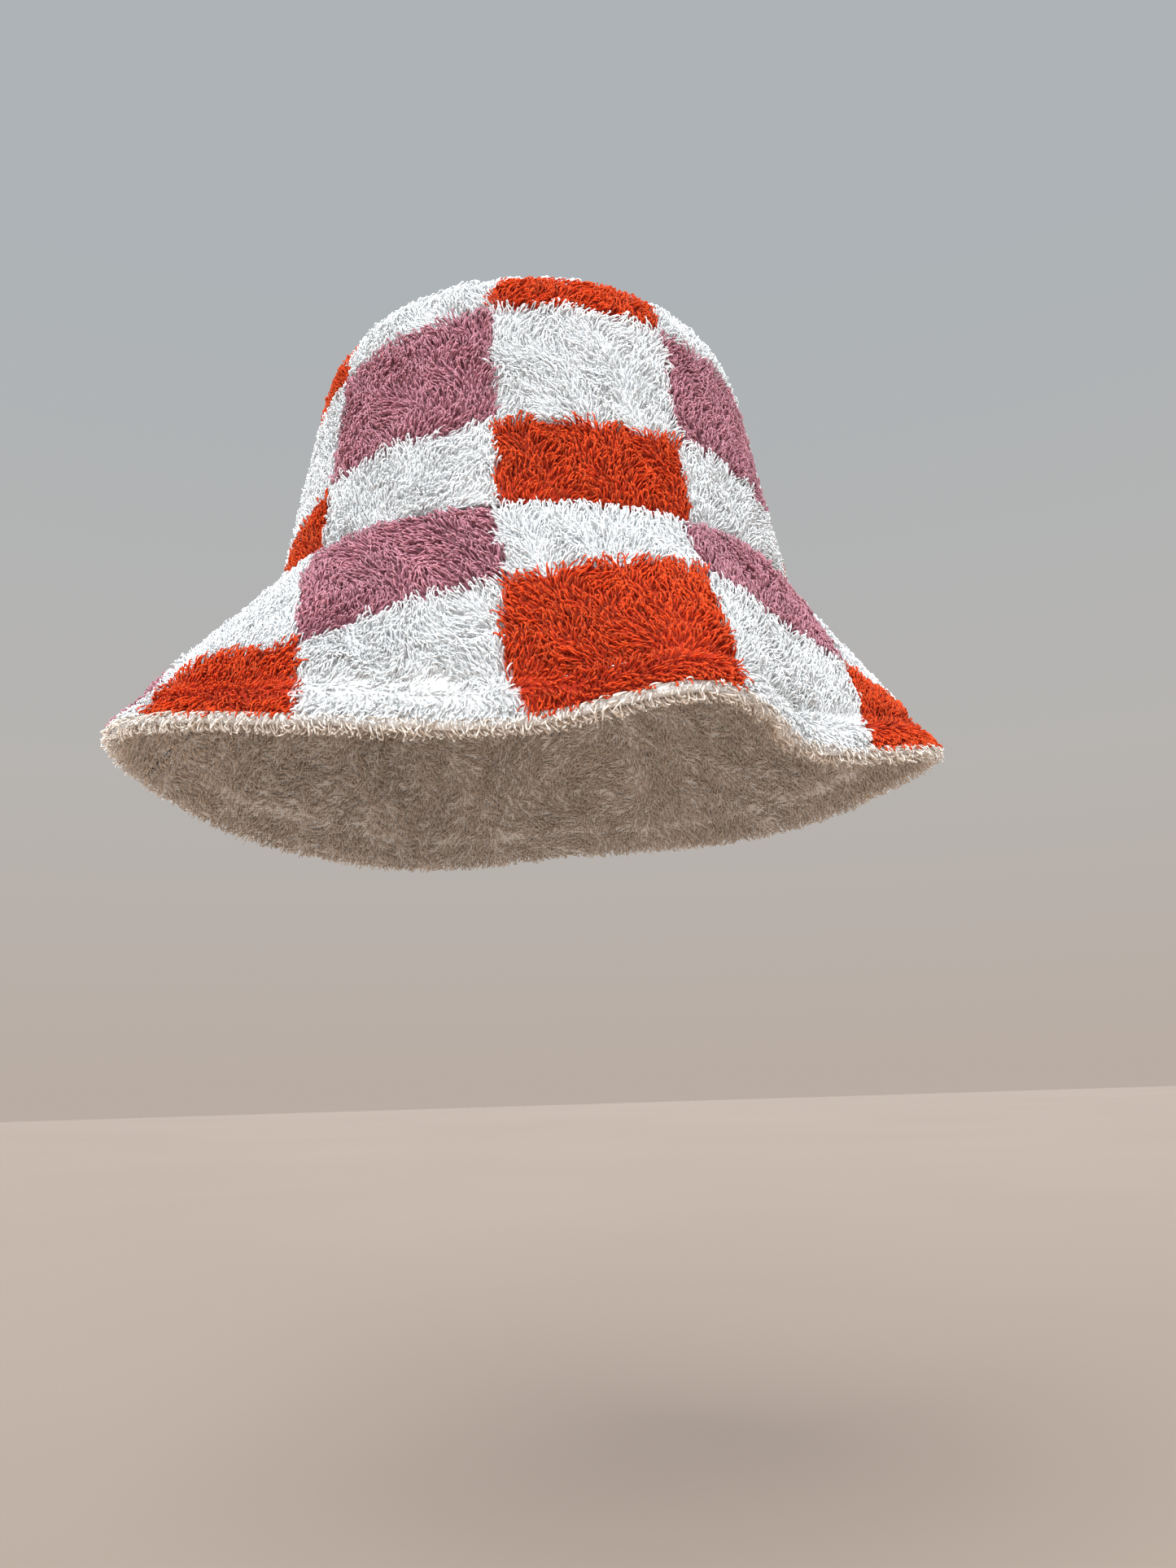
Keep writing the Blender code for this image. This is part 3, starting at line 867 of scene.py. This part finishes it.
def build_sewing():
    in_seam = -SEAM_SINK
    add_stitches("brim_topstitches", "brim_topstitch_thread", [
        around_line(outer_brim, -1, TOPSTITCH_RUN, -TOPSTITCH_SINK),
        around_line(under_brim, 1, TOPSTITCH_RUN, -TOPSTITCH_SINK),
    ])
    add_stitches("crown_seam_stitches", "crown_seam_thread", [around_line(outer_crown, 1, 0.0, in_seam)])
    add_stitches("tip_seam_stitches", "tip_seam_thread", [around_line(outer_crown, 1, TIP_SEAM, in_seam)])
    for name, azimuth in (("right", math.pi / 2), ("left", -math.pi / 2)):
        band = side_line(outer_crown, 1, azimuth, SEAM_CLEAR, TIP_SEAM - SEAM_CLEAR, in_seam)
        brim = side_line(outer_brim, -1, azimuth, SEAM_CLEAR, BRIM_END - SEAM_CLEAR, in_seam)
        add_stitches("band_seam_stitches_" + name, "band_seam_thread_" + name, [band])
        add_stitches("brim_seam_stitches_" + name, "brim_seam_thread_" + name, [brim])


def build_stiffening():
    """The woven stiffener between the two layers of the brim."""
    for half in ("front", "back"):
        panel = "brim_interlining_" + half
        cloth = ground_cloth(panel, panel + "_cloth", stiffener_cloth, INTERLINING, rows=24)


def build_label():
    """A blank folded tape sewn to the lining at the back."""
    cloth = ground_cloth("size_label", "woven_label", label_cloth, LABEL_THICKNESS, columns=40, rows=24)


build_towelling()
build_stiffening()
build_label()
build_sewing()


# Stage, camera and light


def add_floor():
    mesh = bpy.data.meshes.new("floor")
    corners = [(side * FLOOR_HALF, depth * FLOOR_HALF, FLOOR_Z) for side, depth in FLOOR_CORNERS]
    mesh.from_pydata(corners, [], [(0, 1, 2, 3)])
    look, nodes, links, shader = graph("floor")
    shades = ramp(nodes, [(0.3, (0.205, 0.156, 0.126)), (0.7, (0.215, 0.165, 0.134))])
    links.new(noise(nodes, links, 1.5), shades.inputs[0])
    links.new(shades.outputs[0], shader.inputs["Base Color"])
    shader.inputs["Roughness"].default_value = 0.9
    mesh.materials.append(look)
    floor = bpy.data.objects.new("floor", mesh)
    bpy.context.scene.collection.objects.link(floor)


def add_world():
    world = bpy.data.worlds.new("studio")
    world.use_nodes = True
    nodes, links = world.node_tree.nodes, world.node_tree.links
    place_in_sky = nodes.new("ShaderNodeTexCoord")
    split = nodes.new("ShaderNodeSeparateXYZ")
    links.new(place_in_sky.outputs["Generated"], split.inputs[0])
    heights = [(0.0, (0.49, 0.42, 0.37)), (0.25, (0.47, 0.455, 0.44)), (0.6, (0.42, 0.45, 0.47))]
    shades = ramp(nodes, heights)
    links.new(split.outputs["Z"], shades.inputs[0])
    background = nodes["Background"]
    links.new(shades.outputs[0], background.inputs["Color"])
    background.inputs["Strength"].default_value = 1.0
    bpy.context.scene.world = world


def add_sun(name, towards, strength, spread, colour):
    """Soft light from one side. towards points from the hat to the light."""
    data = bpy.data.lights.new(name, "SUN")
    data.energy = strength
    data.angle = math.radians(spread)
    data.color = colour
    lamp = bpy.data.objects.new(name, data)
    bpy.context.scene.collection.objects.link(lamp)
    lamp.rotation_euler = (-Vector(towards)).to_track_quat("-Z", "Y").to_euler()


def add_bounce():
    """Warm light thrown up from a table in front of the hat."""
    data = bpy.data.lights.new("bounce", "AREA")
    data.shape = "DISK"
    data.size = 0.9
    data.energy = 1.6
    data.color = (1.0, 0.74, 0.56)
    lamp = bpy.data.objects.new("bounce", data)
    bpy.context.scene.collection.objects.link(lamp)
    lamp.location = (0, -0.45, FLOOR_Z + 0.01)
    lamp.rotation_euler = (math.pi, 0, 0)
    lamp.visible_camera = False


def add_camera():
    data = bpy.data.cameras.new("camera")
    data.sensor_fit = "HORIZONTAL"
    data.sensor_width = SENSOR
    data.lens = FOCAL
    data.clip_start = 0.01
    camera = bpy.data.objects.new("camera", data)
    bpy.context.scene.collection.objects.link(camera)
    level_ahead = Vector((math.sin(CAMERA_YAW), math.cos(CAMERA_YAW), 0))
    ahead = math.cos(CAMERA_RISE) * level_ahead + Vector((0, 0, math.sin(CAMERA_RISE)))
    level = Vector((math.cos(CAMERA_YAW), -math.sin(CAMERA_YAW), 0))
    above = level.cross(ahead)
    right = math.cos(CAMERA_ROLL) * level + math.sin(CAMERA_ROLL) * above
    up = math.cos(CAMERA_ROLL) * above - math.sin(CAMERA_ROLL) * level
    turned = Matrix((right, up, -ahead)).transposed().to_4x4()
    camera.matrix_world = Matrix.Translation(CAMERA_PLACE) @ turned
    bpy.context.scene.camera = camera


add_floor()
add_world()
add_sun("key", (-0.30, -0.80, 0.75), 6.8, 60, (0.90, 0.965, 1.0))
add_sun("fill", (0.8, -0.6, 0.5), 2.2, 90, (0.93, 0.97, 1.0))
add_sun("back", (0.1, 0.9, 0.7), 1.6, 80, (1.0, 0.98, 0.95))
add_bounce()
add_camera()
bpy.context.scene.view_settings.view_transform = "Standard"
